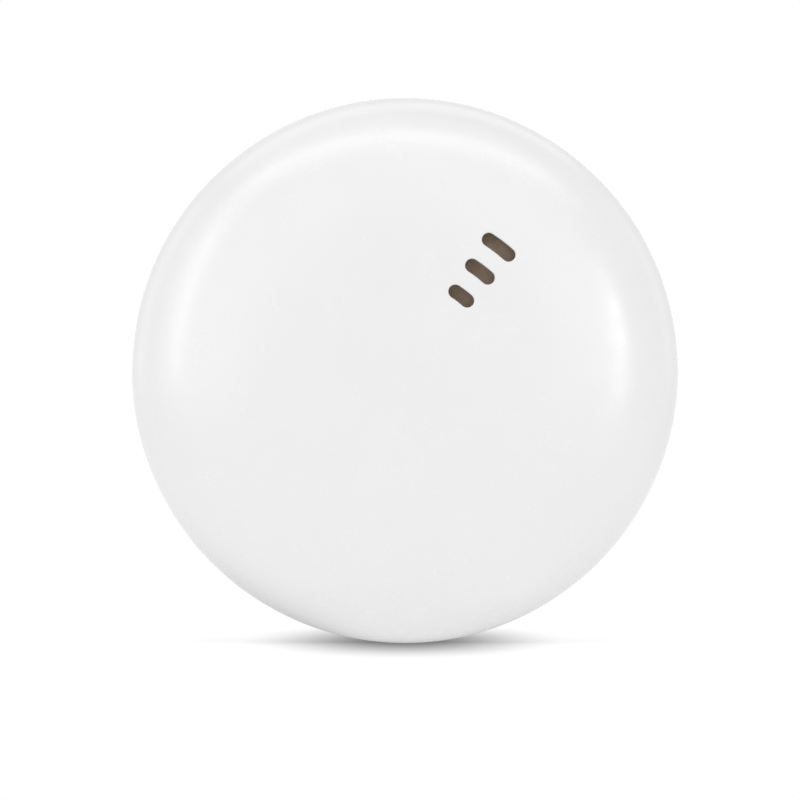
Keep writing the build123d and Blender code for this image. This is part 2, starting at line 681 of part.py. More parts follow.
# Driver chip of the sounder
with BuildPart() as alarm_chip:
    chip(alarm_chip_place, ALARM_CHIP_SIZE, ALARM_CHIP_LEGS)
alarm_chip.part.label = "alarm_chip"
export_step(alarm_chip.part, "parts/alarm_chip.step")

# Timing crystal
with BuildPart() as timing_crystal:
    blocks(board_front, board_front + CRYSTAL_HEIGHT, [crystal_place], CRYSTAL_SIZE)
    fillet(timing_crystal.edges().filter_by(Axis.Y), radius=EDGE_ROUND)
timing_crystal.part.label = "timing_crystal"
export_step(timing_crystal.part, "parts/timing_crystal.step")

# Boost inductor: a drum with a groove between two flanges
with BuildPart() as boost_inductor:
    bars(board_front, board_front + INDUCTOR_HEIGHT, [inductor_place], INDUCTOR_RADIUS)
    groove_rear = board_front + INDUCTOR_HEIGHT / 4
    groove_front = board_front + 3 * INDUCTOR_HEIGHT / 4
    groove_floor = INDUCTOR_RADIUS - INDUCTOR_GROOVE
    tubes(groove_rear, groove_front, [inductor_place], 2 * INDUCTOR_RADIUS, groove_floor, Mode.SUBTRACT)
boost_inductor.part.label = "boost_inductor"
export_step(boost_inductor.part, "parts/boost_inductor.step")

# Capacitors: two upright cans
with BuildPart() as capacitors:
    bars(board_front, board_front + CAPACITOR_HEIGHT, capacitor_places, CAPACITOR_RADIUS)
    fillet(capacitors.faces().group_by(Axis.Y)[0].edges(), radius=EDGE_ROUND)
capacitors.part.label = "capacitors"
export_step(capacitors.part, "parts/capacitors.step")

# Chip resistors and chip capacitors
with BuildPart() as chip_components:
    blocks(board_front, board_front + CHIP_PART_HEIGHT, chip_part_places, CHIP_PART_SIZE)
chip_components.part.label = "chip_components"
export_step(chip_components.part, "parts/chip_components.step")

# Indicator light on the board: a square body with a round lens
with BuildPart() as indicator_led:
    blocks(board_front, board_front + LED_HEIGHT / 2, [led_place], (LED_SIZE, LED_SIZE))
    bars(board_front + LED_HEIGHT / 2, board_front + LED_HEIGHT, [led_place], LED_SIZE / 2 - PRESS_GAP)
indicator_led.part.label = "indicator_led"
export_step(indicator_led.part, "parts/indicator_led.step")

# Test switch: a square body with a bore, open towards the cover
bore_rear = board_front + SWITCH_FLOOR
with BuildPart() as test_switch_body:
    blocks(board_front, switch_front, [switch_place], (SWITCH_SIZE, SWITCH_SIZE))
    fillet(test_switch_body.edges().filter_by(Axis.Y), radius=EDGE_ROUND)
    bars(bore_rear, switch_front, [switch_place], PLUNGER_RADIUS + GUIDE_GAP, Mode.SUBTRACT)
test_switch_body.part.label = "test_switch_body"
export_step(test_switch_body.part, "parts/test_switch_body.step")

# Test switch plunger: slides in the body's bore
with BuildPart() as test_switch_plunger:
    bars(switch_front - PLUNGER_DEPTH, plunger_front, [switch_place], PLUNGER_RADIUS)
test_switch_plunger.part.label = "test_switch_plunger"
export_step(test_switch_plunger.part, "parts/test_switch_plunger.step")


def optic_plane(angle, radius):
    """The plane across an optic's axis at a radius in the chamber: its normal points at the middle."""
    x, z = polar(radius, angle, chamber_place)
    inwards = (-cos(radians(angle)), 0, -sin(radians(angle)))
    return Plane(origin=(x, -optic_depth, z), x_dir=(0, 1, 0), z_dir=inwards)


def optic(angle, gap, mode=Mode.ADD):
    """A round-nosed optic with a flange and two legs, grown by a gap where it is a pocket."""
    radius = OPTIC_DIAMETER / 2 + gap
    with BuildSketch(optic_plane(angle, optic_nose + OPTIC_LENGTH + gap)) as flange:
        Circle(radius + OPTIC_FLANGE)
    extrude(flange.sketch, amount=2 * (OPTIC_FLANGE + gap), mode=mode)
    with BuildSketch(optic_plane(angle, optic_nose + OPTIC_LENGTH + gap)) as barrel:
        Circle(radius)
    extrude(barrel.sketch, amount=OPTIC_LENGTH - radius + 2 * gap, mode=mode)
    with Locations(optic_plane(angle, optic_nose + radius)):
        Sphere(radius, mode=mode)
    leg = LEG + 2 * gap
    flange_back = polar(optic_nose + OPTIC_LENGTH + LEG, angle, chamber_place)
    with BuildSketch(facing(board_front)) as legs:
        for side in (-1, 1):
            with Locations(polar(side * LEG_SPACING / 2, angle + 90, flange_back)):
                Rectangle(2 * leg, leg, rotation=angle)
    extrude(legs.sketch, amount=optic_depth + leg / 2 - board_front, mode=mode)


# Chamber base: disc with a sensing hollow, pockets for the optics and pegs that stand in the board
with BuildPart() as chamber_base:
    bars(board_front, chamber_floor, [chamber_place], chamber_radius)
    bars(board_rear, board_front, chamber_pegs, FOOT_RADIUS)
    sensing_radius = chamber_radius - SENSING_INSET
    bars(chamber_floor - SENSING_DEPTH, chamber_floor, [chamber_place], sensing_radius, Mode.SUBTRACT)
    for optic_angle in (LED_ANGLE, DIODE_ANGLE):
        optic(optic_angle, PRESS_GAP, Mode.SUBTRACT)
        with BuildSketch(optic_plane(optic_angle, optic_nose + OPTIC_LENGTH / 2)):
            Circle(OPTIC_DIAMETER / 3)
        extrude(amount=optic_nose, mode=Mode.SUBTRACT)
chamber_base.part.label = "chamber_base"
export_step(chamber_base.part, "parts/chamber_base.step")

# Infrared lamp of the chamber
with BuildPart() as infrared_led:
    optic(LED_ANGLE, 0)
infrared_led.part.label = "infrared_led"
export_step(infrared_led.part, "parts/infrared_led.step")

# Light sensor of the chamber
with BuildPart() as photodiode:
    optic(DIODE_ANGLE, 0)
photodiode.part.label = "photodiode"
export_step(photodiode.part, "parts/photodiode.step")

# Labyrinth: bent vanes that let smoke in and keep light out, under a cap
with BuildPart() as chamber_labyrinth:
    bars(chamber_cap, chamber_cap + CHAMBER_CAP, [chamber_place], chamber_radius)
    with BuildSketch(facing(chamber_floor)):
        with Locations(chamber_place):
            with PolarLocations(chamber_radius - VANE_INSET, VANE_COUNT):
                for turn in (VANE_TURN, VANE_TURN + VANE_BEND):
                    root = (Align.MIN, Align.CENTER)
                    Rectangle(VANE_LENGTH, VANE_THICKNESS, rotation=turn, align=root)
    extrude(amount=CHAMBER_HEIGHT)
chamber_labyrinth.part.label = "chamber_labyrinth"
export_step(chamber_labyrinth.part, "parts/chamber_labyrinth.step")

# Insect screen: a thin ring with rows of windows, between the chamber's base and cap
screen_outer = chamber_radius - SCREEN_INSET
with BuildPart() as insect_screen:
    tubes(chamber_floor, chamber_cap, [chamber_place], screen_outer, screen_outer - SCREEN_WALL)
    row_pitch = CHAMBER_HEIGHT / SCREEN_ROWS
    window = (4 * SCREEN_WALL, 2 * screen_outer * sin(radians(180 / SCREEN_COLUMNS)) - SCREEN_BAR)
    for row in range(SCREEN_ROWS):
        with BuildSketch(facing(chamber_floor + row * row_pitch + SCREEN_BAR / 2)):
            with Locations(chamber_place):
                with PolarLocations(screen_outer, SCREEN_COLUMNS):
                    Rectangle(*window)
        extrude(amount=row_pitch - SCREEN_BAR, mode=Mode.SUBTRACT)
insect_screen.part.label = "insect_screen"
export_step(insect_screen.part, "parts/insect_screen.step")

# Inner cover: plate over the board with guide tubes for the cover's posts and slots for its hooks
pin_hole = PIN_DIAMETER / 2 + PIN_HOLE_GAP
with BuildPart() as inner_cover:
    bars(plate_rear, plate_front, centre, housing_inside - FIXED_GAP)
    bars(guide_end, plate_rear, post_points, POST_RADIUS + GUIDE_GAP + GUIDE_WALL)
    bars(guide_end, plate_front, post_points, POST_RADIUS + GUIDE_GAP, Mode.SUBTRACT)
    box_hole = (box_outer[0] + 2 * FIXED_GAP, box_outer[1] + 2 * FIXED_GAP)
    blocks(plate_rear, plate_front, [cell_place], box_hole, Mode.SUBTRACT)
    snap_near = snap_inner - MOVING_GAP
    snap_far = snap_outer + MOVING_GAP
    snap_sweep = SNAP_WIDTH + 2 * PRONG_GAP
    sectors(plate_rear, plate_front, snap_near, snap_far, SNAP_ANGLES, snap_sweep, Mode.SUBTRACT)
    plate_holes = (
        ([chamber_place], chamber_radius + FIXED_GAP),
        (plate_screw_points, SCREW_RADIUS + SCREW_PLAY),
        (guard_pin_points, FOOT_RADIUS + PRESS_GAP),
        ([brass_pin, *ceramic_pins], pin_hole),
        ([switch_place], PLUNGER_RADIUS + MOVING_GAP),
        ([led_place], GUIDE_ROD_RADIUS + PRESS_GAP),
    )
    for points, radius in plate_holes:
        bars(plate_rear, plate_front, points, radius, Mode.SUBTRACT)
inner_cover.part.label = "inner_cover"
export_step(inner_cover.part, "parts/inner_cover.step")

# Inlet guard: a ring of upright fins that stands on the inner cover and looks out of the smoke gap
with BuildPart() as inlet_guard:
    guard_front = plate_front + GUARD_HEIGHT
    tubes(plate_front, plate_front + GUARD_RING / 2, centre, guard_outer, guard_inner)
    with BuildSketch(facing(plate_front)):
        with PolarLocations(guard_middle, FIN_COUNT):
            Rectangle(GUARD_WIDTH - FIXED_GAP, FIN_THICKNESS)
    extrude(amount=GUARD_HEIGHT - GUARD_RING / 2)
    tubes(guard_front - GUARD_RING, guard_front, centre, guard_outer, guard_inner)
    bars(plate_rear, plate_front, guard_pin_points, FOOT_RADIUS)
inlet_guard.part.label = "inlet_guard"
export_step(inlet_guard.part, "parts/inlet_guard.step")

# Sounder housing: a cup on the inner cover with a seat for the diaphragm near its front
with BuildPart() as sounder_housing:
    cup_rear = plate_front + SOUNDER_FLOOR
    bars(plate_front, sounder_front, [sounder_place], sounder_radius)
    bars(cup_rear, sounder_front, [sounder_place], piezo_radius - PIEZO_SEAT, Mode.SUBTRACT)
    bars(piezo_rear, sounder_front, [sounder_place], piezo_radius + PRESS_GAP, Mode.SUBTRACT)
    bars(plate_front, cup_rear, [brass_pin, *ceramic_pins], pin_hole, Mode.SUBTRACT)
sounder_housing.part.label = "sounder_housing"
export_step(sounder_housing.part, "parts/sounder_housing.step")

# Brass plate of the sounder, which shows through the sound slots
with BuildPart() as piezo_plate:
    bars(piezo_rear, piezo_front, [sounder_place], piezo_radius)
piezo_plate.part.label = "piezo_plate"
export_step(piezo_plate.part, "parts/piezo_plate.step")

# Ceramic disc on the back of the brass plate
with BuildPart() as piezo_ceramic:
    bars(ceramic_rear, piezo_rear, [sounder_place], ceramic_radius)
piezo_ceramic.part.label = "piezo_ceramic"
export_step(piezo_ceramic.part, "parts/piezo_ceramic.step")

# Retainer: ring that holds the brass plate on its seat
with BuildPart() as sounder_retainer:
    tubes(piezo_front, sounder_front, [sounder_place], piezo_radius, piezo_radius - RETAINER_WIDTH)
sounder_retainer.part.label = "sounder_retainer"
export_step(sounder_retainer.part, "parts/sounder_retainer.step")

# Contact pins: one to the brass beside the ceramic, two to the ceramic's electrodes
with BuildPart() as piezo_contacts:
    bars(board_front, piezo_rear, [brass_pin], PIN_DIAMETER / 2)
    bars(board_front, ceramic_rear, ceramic_pins, PIN_DIAMETER / 2)
piezo_contacts.part.label = "piezo_contacts"
export_step(piezo_contacts.part, "parts/piezo_contacts.step")

# Light guide: a rod from the lamp to the thinned spot, with a flange that rests on the inner cover
with BuildPart() as light_guide:
    bars(board_front + LED_HEIGHT + PRESS_GAP, front_face, [led_place], GUIDE_ROD_RADIUS)
    bars(plate_front, plate_front + PLATE_THICKNESS, [led_place], GUIDE_ROD_FLANGE)
    dome(WINDOW_SKIN + COVER_TRAVEL + GUIDE_GAP, 0, 0, Mode.INTERSECT)
light_guide.part.label = "light_guide"
export_step(light_guide.part, "parts/light_guide.step")

# Cover springs: one round each guide post, between the inner cover and the post's shoulder
with BuildPart() as cover_springs:
    spring_rise = SPRING_HEIGHT - SPRING_WIRE
    for spring_x, spring_z in post_points:
        with BuildLine() as coil:
            Helix(
                pitch=spring_rise / SPRING_TURNS,
                height=spring_rise,
                radius=SPRING_RADIUS,
                center=(spring_x, -plate_front - SPRING_WIRE / 2, spring_z),
                direction=(0, -1, 0),
            )
        with BuildSketch(Plane(origin=coil.line @ 0, z_dir=coil.line % 0)):
            Circle(SPRING_WIRE / 2)
        sweep(path=coil.line, is_frenet=True)
cover_springs.part.label = "cover_springs"
export_step(cover_springs.part, "parts/cover_springs.step")

# Pocket that thins the front cover over the light guide
with BuildPart() as window_pocket:
    bars(plate_front, front_face, [led_place], GUIDE_ROD_RADIUS + GUIDE_GAP)
    dome(WINDOW_SKIN, 0, 0, Mode.INTERSECT)

# Front cover: domed shell with guide posts, hooks, a pusher for the test switch and sound slots
with BuildPart() as front_cover:
    dome(0, EDGE_UNDERCUT, cover_edge)
    dome(COVER_WALL, EDGE_UNDERCUT, cover_edge, Mode.SUBTRACT)
    fillet(front_cover.edges().group_by(Axis.Y)[-1], radius=EDGE_ROUND)
    bars(guide_end + COVER_TRAVEL, front_face, post_points, POST_RADIUS)
    bars(shoulder_end, front_face, post_points, SHOULDER_RADIUS)
    bars(plunger_front + PRESS_GAP, front_face, [switch_place], PLUNGER_RADIUS)
    barb_front = plate_rear - FIXED_GAP
    barb_rear = barb_front - SNAP_BARB
    sectors(barb_rear, front_face, snap_inner, snap_outer, SNAP_ANGLES, SNAP_WIDTH)
    sectors(barb_rear, barb_front, snap_outer, snap_outer + SNAP_BARB, SNAP_ANGLES, SNAP_WIDTH)
    dome(0, 0, 0, Mode.INTERSECT)
    add(window_pocket.part, mode=Mode.SUBTRACT)
    with BuildSketch(facing(sounder_front)):
        for step in (-1, 0, 1):
            slot_radius = middle_slot + step * SLOT_PITCH
            with BuildLine(mode=Mode.PRIVATE) as slot_middle:
                CenterArc((0, 0), slot_radius, SLOT_ANGLE - SLOT_SWEEP / 2, SLOT_SWEEP)
            SlotArc(slot_middle.edges()[0], SLOT_WIDTH)
    extrude(amount=front_face - sounder_front, mode=Mode.SUBTRACT)
    domed_face = front_cover.faces().sort_by(SortBy.AREA)[-1]
    fillet(domed_face.inner_wires().edges(), radius=SLOT_ROUND)
front_cover.part.label = "front_cover"
export_step(front_cover.part, "parts/front_cover.step")
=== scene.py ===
import json
import math

import bmesh
import bpy
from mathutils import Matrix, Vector


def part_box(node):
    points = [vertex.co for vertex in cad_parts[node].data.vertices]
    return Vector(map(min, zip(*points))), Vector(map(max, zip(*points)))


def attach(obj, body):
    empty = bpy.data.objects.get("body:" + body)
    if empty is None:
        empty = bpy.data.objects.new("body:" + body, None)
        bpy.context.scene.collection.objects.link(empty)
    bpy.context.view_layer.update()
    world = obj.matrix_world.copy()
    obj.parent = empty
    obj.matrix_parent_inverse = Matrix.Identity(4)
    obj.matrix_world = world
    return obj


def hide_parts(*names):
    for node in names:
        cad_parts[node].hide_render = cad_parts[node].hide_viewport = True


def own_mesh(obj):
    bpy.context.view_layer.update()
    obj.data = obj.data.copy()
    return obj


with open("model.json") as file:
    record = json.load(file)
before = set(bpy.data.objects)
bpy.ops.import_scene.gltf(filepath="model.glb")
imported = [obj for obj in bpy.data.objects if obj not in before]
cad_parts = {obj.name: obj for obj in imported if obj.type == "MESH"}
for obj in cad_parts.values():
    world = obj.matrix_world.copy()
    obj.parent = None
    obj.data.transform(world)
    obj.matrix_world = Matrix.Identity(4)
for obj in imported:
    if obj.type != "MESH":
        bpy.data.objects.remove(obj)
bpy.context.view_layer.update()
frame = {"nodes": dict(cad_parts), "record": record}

# All sizes are in metres. Seen from the room, X runs to the right, Z up, and the room lies along -Y.
MM = 0.001

COVER_RADIUS = 55 * MM
RIM_DEPTH = 24 * MM
FLOOR_LEVEL = -COVER_RADIUS

# Moulded plastic: faint clouding, uneven gloss, a fine grain and a slight waviness
CLOUD_SIZE = 14 * MM
CLOUD_CONTRAST = 0.015
GLOSS_PATCH = 5 * MM
GLOSS_SWING = 0.04
GRAIN_SIZE = 0.35 * MM
GRAIN_RELIEF = 0.004 * MM
WAVE_SIZE = 2.5 * MM
WAVE_TO_GRAIN_RELIEF = 2

# The polished cover and the clear pieces have a much fainter relief
COVER_GRAIN = 0.5 * MM
COVER_RELIEF = 0.0012 * MM
COVER_CONTRAST = 0.006
RESIN_RELIEF = 0.001 * MM
RESIN_IOR = 1.49
RESIN_CLARITY = 0.9

# Metal: tarnish, and marks that run the way it was rolled, drawn or turned
TARNISH_SIZE = 4 * MM
TARNISH_SHADES = (0.9, 1.06)
SCRATCH_SIZE = 0.12 * MM
SCRATCH_RELIEF = 0.002 * MM
SCRATCH_GLOSS = (-0.06, 0.08)

# Circuit board: raised copper areas under the solder mask, and tinned holes
COPPER_AREA = 2.2 * MM
COPPER_DISORDER = 0.7
COPPER_EDGE = (0.34, 0.38)
COPPER_THICKNESS = 0.03 * MM
HOLE_SPACING = 3.1 * MM
HOLE_EDGE = (0.1, 0.12)
MASK_RIPPLE = 1.5 * MM
MASK_GLOSS = (0.24, 0.34)


class Material:
    """A node material whose detail is measured in metres on the object."""

    def __init__(self, name):
        self.material = bpy.data.materials.new(name)
        self.material.use_nodes = True
        self.nodes = self.material.node_tree.nodes
        self.links = self.material.node_tree.links
        self.shader = self.nodes["Principled BSDF"]
        self.place = self.nodes.new("ShaderNodeTexCoord").outputs["Object"]
        self.normal = None

    def set(self, **values):
        for name, value in values.items():
            self.shader.inputs[name.replace("_", " ")].default_value = value

    def stretched(self, scale):
        """The object's coordinates, stretched, for grain that runs one way."""
        mapping = self.nodes.new("ShaderNodeMapping")
        mapping.inputs["Scale"].default_value = scale
        self.links.new(self.place, mapping.inputs["Vector"])
        return mapping.outputs["Vector"]

    def noise(self, size, detail, place=None):
        """Smooth noise whose blobs are about that size."""
        node = self.nodes.new("ShaderNodeTexNoise")
        node.inputs["Scale"].default_value = 1 / size
        node.inputs["Detail"].default_value = detail
        self.links.new(place or self.place, node.inputs["Vector"])
        return node.outputs["Fac"]

    def cells(self, size, feature="F1", metric="EUCLIDEAN", disorder=1.0):
        """Cells of about that size, as the distance from their middles."""
        node = self.nodes.new("ShaderNodeTexVoronoi")
        node.feature = feature
        node.distance = metric
        node.inputs["Scale"].default_value = 1 / size
        node.inputs["Randomness"].default_value = disorder
        self.links.new(self.place, node.inputs["Vector"])
        return node.outputs["Distance"]

    def spread(self, value, low, high, start=0.3, end=0.7):
        """A value that runs from low to high while the given one runs from start to end."""
        node = self.nodes.new("ShaderNodeMapRange")
        node.inputs["From Min"].default_value = start
        node.inputs["From Max"].default_value = end
        node.inputs["To Min"].default_value = low
        node.inputs["To Max"].default_value = high
        self.links.new(value, node.inputs["Value"])
        return node.outputs["Result"]

    def soft_spread(self, value, low, high, start, end):
        """The same with rounded ends."""
        result = self.spread(value, low, high, start, end)
        result.node.interpolation_type = "SMOOTHSTEP"
        return result

    def colour(self, factor, dark, light, start=0.3, end=0.7):
        """The base colour, between two colours by a texture."""
        ramp = self.nodes.new("ShaderNodeValToRGB")
        ramp.color_ramp.elements[0].position = start
        ramp.color_ramp.elements[0].color = (*dark, 1)
        ramp.color_ramp.elements[1].position = end
        ramp.color_ramp.elements[1].color = (*light, 1)
        self.links.new(factor, ramp.inputs["Fac"])
        self.links.new(ramp.outputs["Color"], self.shader.inputs["Base Color"])
        return ramp.outputs["Color"]

    def roughness(self, factor, low, high):
        self.links.new(self.spread(factor, low, high), self.shader.inputs["Roughness"])

    def bump(self, height, depth):
        """Relief of about that depth, on top of any earlier relief."""
        node = self.nodes.new("ShaderNodeBump")
        node.inputs["Distance"].default_value = depth
        node.inputs["Strength"].default_value = 1.0
        self.links.new(height, node.inputs["Height"])
        if self.normal:
            self.links.new(self.normal, node.inputs["Normal"])
        self.normal = node.outputs["Normal"]
        self.links.new(self.normal, self.shader.inputs["Normal"])


def shade(colour, factor):
    return tuple(min(1.0, c * factor) for c in colour)


def moulded(name, colour, gloss, contrast=CLOUD_CONTRAST, grain=GRAIN_SIZE, relief=GRAIN_RELIEF):
    m = Material(name)
    m.colour(m.noise(CLOUD_SIZE, detail=3), shade(colour, 1 - contrast), shade(colour, 1 + contrast))
    m.roughness(m.noise(GLOSS_PATCH, detail=4), gloss - GLOSS_SWING, gloss + GLOSS_SWING)
    m.bump(m.cells(grain, feature="SMOOTH_F1"), relief)
    m.bump(m.noise(WAVE_SIZE, detail=2), WAVE_TO_GRAIN_RELIEF * relief)
    return m


def clear_resin(name, tint, gloss):
    m = moulded(name, tint, gloss, relief=RESIN_RELIEF)
    m.set(Transmission_Weight=RESIN_CLARITY, IOR=RESIN_IOR)
    return m


def metal(name, colour, gloss, stretch):
    m = Material(name)
    m.set(Metallic=1.0)
    along = m.stretched(stretch)
    dull, bright = (shade(colour, factor) for factor in TARNISH_SHADES)
    m.colour(m.noise(TARNISH_SIZE, detail=4), dull, bright)
    smooth, rough = (gloss + change for change in SCRATCH_GLOSS)
    m.roughness(m.noise(SCRATCH_SIZE, detail=3, place=along), smooth, rough)
    m.bump(m.noise(SCRATCH_SIZE, detail=2, place=along), SCRATCH_RELIEF)
    return m


def circuit_laminate(name, mask, copper, tin):
    m = Material(name)
    areas = m.cells(COPPER_AREA, metric="CHEBYCHEV", disorder=COPPER_DISORDER)
    height = m.spread(areas, 1, 0, *COPPER_EDGE)
    masked = m.colour(height, mask, copper, 0, 1)
    m.roughness(m.noise(MASK_RIPPLE, detail=2), *MASK_GLOSS)
    m.bump(height, COPPER_THICKNESS)
    tinned = m.spread(m.cells(HOLE_SPACING), 1, 0, *HOLE_EDGE)
    blend = m.nodes.new("ShaderNodeMix")
    blend.data_type = "RGBA"
    m.links.new(tinned, blend.inputs["Factor"])
    m.links.new(masked, blend.inputs["A"])
    blend.inputs["B"].default_value = (*tin, 1)
    m.links.new(blend.outputs["Result"], m.shader.inputs["Base Color"])
    m.links.new(tinned, m.shader.inputs["Metallic"])
    return m


# The looks of the record's material slots, as the functions above take them. Metal's last value is the
# scale of its marks along each axis: the smaller, the longer they are drawn.
LOOKS = {
    moulded: {
        "cover_white": ((0.83, 0.83, 0.83), 0.25, COVER_CONTRAST, COVER_GRAIN, COVER_RELIEF),
        "housing_white": ((0.82, 0.82, 0.815), 0.45),
        "base_white": ((0.8, 0.8, 0.79), 0.5),
        "door_white": ((0.8, 0.8, 0.79), 0.48),
        "inner_white": ((0.78, 0.78, 0.77), 0.5),
        "guard_white": ((0.76, 0.76, 0.75), 0.5),
        "slider_grey": ((0.45, 0.46, 0.47), 0.4),
        "cell_sleeve": ((0.1, 0.22, 0.38), 0.25),
        "chip_black": ((0.03, 0.03, 0.032), 0.5),
        "ferrite_grey": ((0.1, 0.1, 0.105), 0.6),
        "chip_ceramic": ((0.4, 0.33, 0.24), 0.5, 0.06),
        "switch_black": ((0.04, 0.04, 0.04), 0.45),
        "plunger_white": ((0.7, 0.7, 0.68), 0.4),
        "chamber_black": ((0.02, 0.02, 0.02), 0.7),
        "sounder_black": ((0.06, 0.06, 0.062), 0.55),
        "sensor_dark": ((0.03, 0.02, 0.025), 0.12),
        "ceramic_pale": ((0.72, 0.68, 0.55), 0.4, 0.04),
    },
    metal: {
        "contact_steel": ((0.7, 0.69, 0.66), 0.3, (1, 1, 0.1)),
        "screw_steel": ((0.6, 0.6, 0.6), 0.35, (1, 0.2, 1)),
        "spring_steel": ((0.62, 0.62, 0.62), 0.3, (1, 1, 1)),
        "screen_steel": ((0.5, 0.5, 0.5), 0.4, (1, 0.2, 1)),
        "can_metal": ((0.75, 0.75, 0.76), 0.3, (1, 0.1, 1)),
        "brass_plate": ((0.46, 0.345, 0.265), 0.45, (0.15, 1, 1)),
    },
    clear_resin: {
        "lamp_clear": ((0.9, 0.92, 0.93), 0.12),
        "guide_clear": ((0.93, 0.95, 0.95), 0.15),
    },
    circuit_laminate: {
        "board_green": ((0.02, 0.13, 0.06), (0.035, 0.24, 0.1), (0.6, 0.6, 0.58)),
    },
}
finishes = {name: make(name, *look) for make, looks in LOOKS.items() for name, look in looks.items()}

slots = {part["node"]: part["material_slot"] for part in frame["record"]["subparts"]}
for node, piece in frame["nodes"].items():
    piece.data.materials.clear()
    piece.data.materials.append(finishes[slots[node]].material)

# Cover springs: coils with closed ends round the cover's guide posts, wound at one fixed length and
# carried by the head; the mesh does not shorten as the cover is pressed
POST_CIRCLE = 41.5 * MM
POST_ANGLES = (30, 150, 270)
WIRE_RADIUS = 0.25 * MM
WIRE_SIDES = 12
COIL_RADIUS = 2.6 * MM
COIL_TURNS = 6
COIL_STEPS = 36
END_PITCH = 0.52 * MM
SPRING_SLACK = 0.02 * MM

springs_low, springs_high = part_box("cover_springs")
seat = springs_high.y
spring_height = springs_high.y - springs_low.y - SPRING_SLACK
middle_pitch = (spring_height - 2 * WIRE_RADIUS - 2 * END_PITCH) / (COIL_TURNS - 2)


def wound_height(turn):
    """The wire's height above the seat after so many turns."""
    middle = min(max(turn - 1, 0), COIL_TURNS - 2)
    return WIRE_RADIUS + (turn - middle) * END_PITCH + middle * middle_pitch


bm = bmesh.new()
for post_angle in map(math.radians, POST_ANGLES):
    post = Vector((POST_CIRCLE * math.cos(post_angle), seat, POST_CIRCLE * math.sin(post_angle)))
    rings = []
    for step in range(COIL_TURNS * COIL_STEPS + 1):
        turn = step / COIL_STEPS
        outward = Vector((math.cos(math.tau * turn), 0, math.sin(math.tau * turn)))
        middle = post + outward * COIL_RADIUS + Vector((0, -wound_height(turn), 0))
        ring = []
        for side in range(WIRE_SIDES):
            around = math.tau * side / WIRE_SIDES
            offset = outward * math.cos(around) + Vector((0, math.sin(around), 0))
            ring.append(bm.verts.new(middle + offset * WIRE_RADIUS))
        rings.append(ring)
    for this, following in zip(rings, rings[1:]):
        for side in range(WIRE_SIDES):
            beside = (side + 1) % WIRE_SIDES
            quad = (this[side], this[beside], following[beside], following[side])
            bm.faces.new(quad).smooth = True
    bm.faces.new(reversed(rings[0]))
    bm.faces.new(rings[-1])
bmesh.ops.recalc_face_normals(bm, faces=bm.faces)
springs_mesh = bpy.data.meshes.new("wound_cover_springs")
bm.to_mesh(springs_mesh)
bm.free()
springs = bpy.data.objects.new("wound_cover_springs", springs_mesh)
bpy.context.scene.collection.objects.link(springs)
springs_mesh.materials.append(finishes[slots["cover_springs"]].material)
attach(springs, "alarm_head")
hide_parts("cover_springs")
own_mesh(springs)

# Floor: a white table, which meets the backdrop's white further out
FLOOR_REACH = 6.0
PAPER_MOTTLE = 400 * MM
PAPER_TONES = ((0.93, 0.93, 0.93), (0.94, 0.94, 0.94))
FADE_TO_WHITE = (180 * MM, 420 * MM)
# Real light, with the alarm's true shadow, gives this share of the table's look; the lift keeps it white
TABLE_LIT_SHARE = 0.4
TABLE_LIFT = 0.24
# Painted shadow: a soft dark ellipse on the floor under the alarm, fixed in place, deepens the shadow
# that the camera sees
SHADOW_CENTRE_Y = -12 * MM
SHADOW_REACH = (34.5 * MM, 83 * MM)
SHADOW_DEPTH = 0.16
# The light that the alarm gets from the table is even, but weaker to the left and right of its foot,
# where painted shade dims the table's glow
TABLE_GLOW = 0.94
BOUNCE_SHADES = ((-34 * MM, 0.26), (34 * MM, 0.72))
BOUNCE_CENTRE_Y = -17 * MM
BOUNCE_REACH = (36 * MM, 27 * MM)

floor_mesh = bpy.data.meshes.new("floor")
signs = ((-1, -1), (1, -1), (1, 1), (-1, 1))
corners = [(x * FLOOR_REACH, y * FLOOR_REACH, FLOOR_LEVEL) for x, y in signs]
floor_mesh.from_pydata(corners, [], [(0, 1, 2, 3)])
floor = bpy.data.objects.new("floor", floor_mesh)
bpy.context.scene.collection.objects.link(floor)


def plain_view(nodes, links):
    """1 for rays from the camera, a glossy surface or a clear one, which see the plain white studio."""
    path = nodes.new("ShaderNodeLightPath")
    value = path.outputs["Is Camera Ray"]
    for kind in ("Is Glossy Ray", "Is Transmission Ray"):
        either = nodes.new("ShaderNodeMath")
        either.operation = "MAXIMUM"
        links.new(value, either.inputs[0])
        links.new(path.outputs[kind], either.inputs[1])
        value = either.outputs["Value"]
    return value


